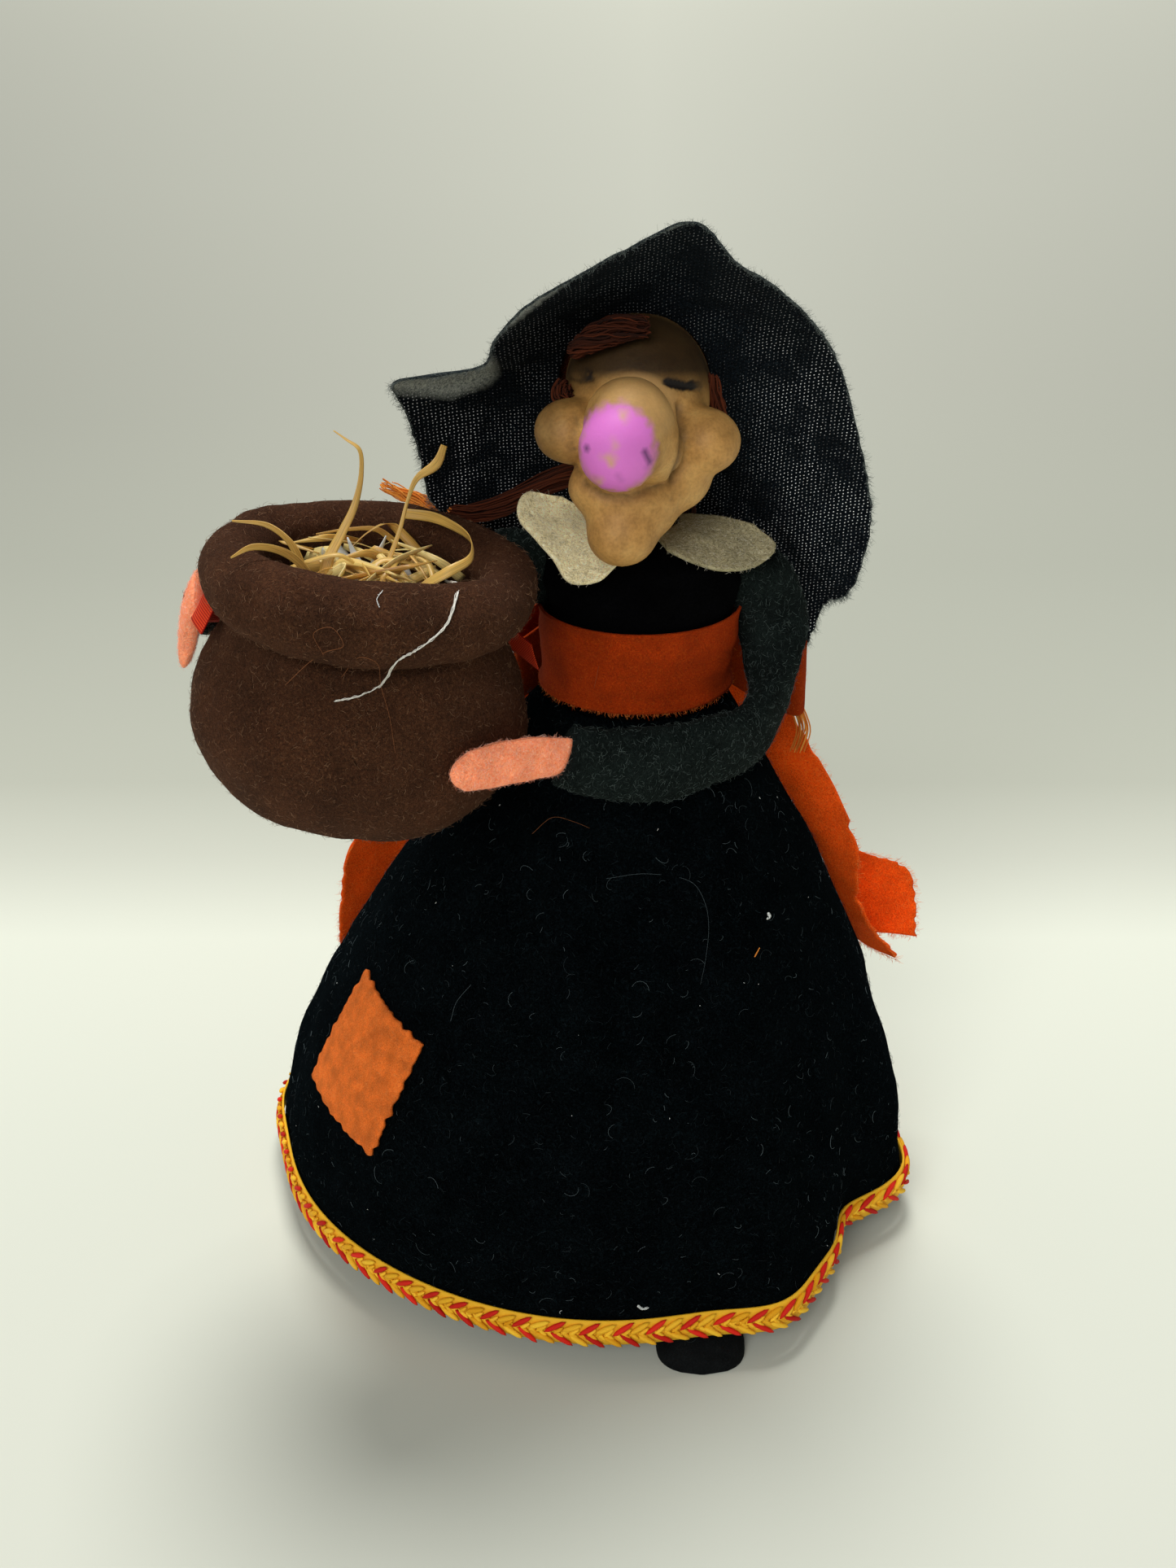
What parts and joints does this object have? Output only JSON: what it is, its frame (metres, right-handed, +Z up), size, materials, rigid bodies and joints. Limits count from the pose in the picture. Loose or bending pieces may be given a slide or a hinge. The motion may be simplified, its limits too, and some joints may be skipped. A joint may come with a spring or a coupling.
{
  "type": "witch figure",
  "caption": "Stuffed cloth witch with a moulded face, a bonnet-like hat, a sash with a bow and a wide skirt, standing and hugging a felt cauldron of straw.",
  "frame": {"origin": "middle of the base board's underside, on the surface that the figure stands on", "axes": "+Z up, -Y towards the side that the figure faces, +X towards the viewer's right, which is the figure's left"},
  "size_m": [0.1775, 0.1603, 0.2563],
  "materials": {
    "card": "matt grey board",
    "black_felt": "short black nap with pale lint",
    "black_velvet": "black velvet",
    "charcoal_felt": "grey-green felt",
    "orange_velvet": "orange velvet with raw edges",
    "patch_suede": "napped suede cloth",
    "braid": "yellow braid with red edge stitches",
    "cream_felt": "cream felt",
    "face_vinyl": "ochre vinyl with a soft sheen and a pink painted nose",
    "rust_yarn": "rust wool yarn",
    "hat_cloth": "near-black open weave with a brushed outside",
    "wire": "plain wire",
    "peg_wood": "bare dowel",
    "hand_felt": "salmon-pink felt",
    "brown_felt": "brown wool felt",
    "wadding": "pale loose wadding",
    "red_ribbon": "red woven ribbon",
    "straw": "dry raffia with a slight gloss"
  },
  "bodies": {
    "figure": {"base_board": "card", "body_cone": "card", "skirt": "black_felt", "hem_braid": "braid", "skirt_patch": "patch_suede", "shoe_left": "black_felt", "shoe_right": "black_felt", "bodice": "black_velvet", "neck_peg": "peg_wood", "sash_band": "orange_velvet", "bow_knot": "orange_velvet", "bow_loop_left": "orange_velvet", "bow_loop_right": "orange_velvet", "sash_tail_left": "orange_velvet", "sash_tail_right": "orange_velvet", "collar_left": "cream_felt", "collar_right": "cream_felt"},
    "head": {"head": "face_vinyl", "hair_fringe": "rust_yarn", "hair_temple": "rust_yarn", "hair_right": "rust_yarn", "hair_lock_left": "rust_yarn", "hair_back": "rust_yarn", "hair_wig": "rust_yarn", "hat_brim": "hat_cloth", "hat_crown": "hat_cloth"},
    "arms": {"arm_wire": "wire", "sleeve_left": "charcoal_felt", "sleeve_right": "charcoal_felt", "hand_left": "hand_felt", "hand_right": "hand_felt", "cauldron": "brown_felt", "wadding": "wadding", "pot_ribbon": "red_ribbon", "straw_tall": "straw", "straw_wide": "straw", "straw_loop": "straw", "straw_curl_back": "straw", "straw_curl_front": "straw", "straw_nest": "straw"}
  },
  "joints": [
    {"name": "head_turn", "type": "hinge", "parent": "figure", "child": "head", "pos_m": [0.0115, -0.003, 0.185], "axis": [0, 0, 1], "range_deg": [-8, 8]},
    {"name": "arms_lift", "type": "hinge", "parent": "figure", "child": "arms", "pos_m": [0.0115, 0, 0.172], "axis": [-1, 0, 0], "range_deg": [0, 8]}
  ]
}
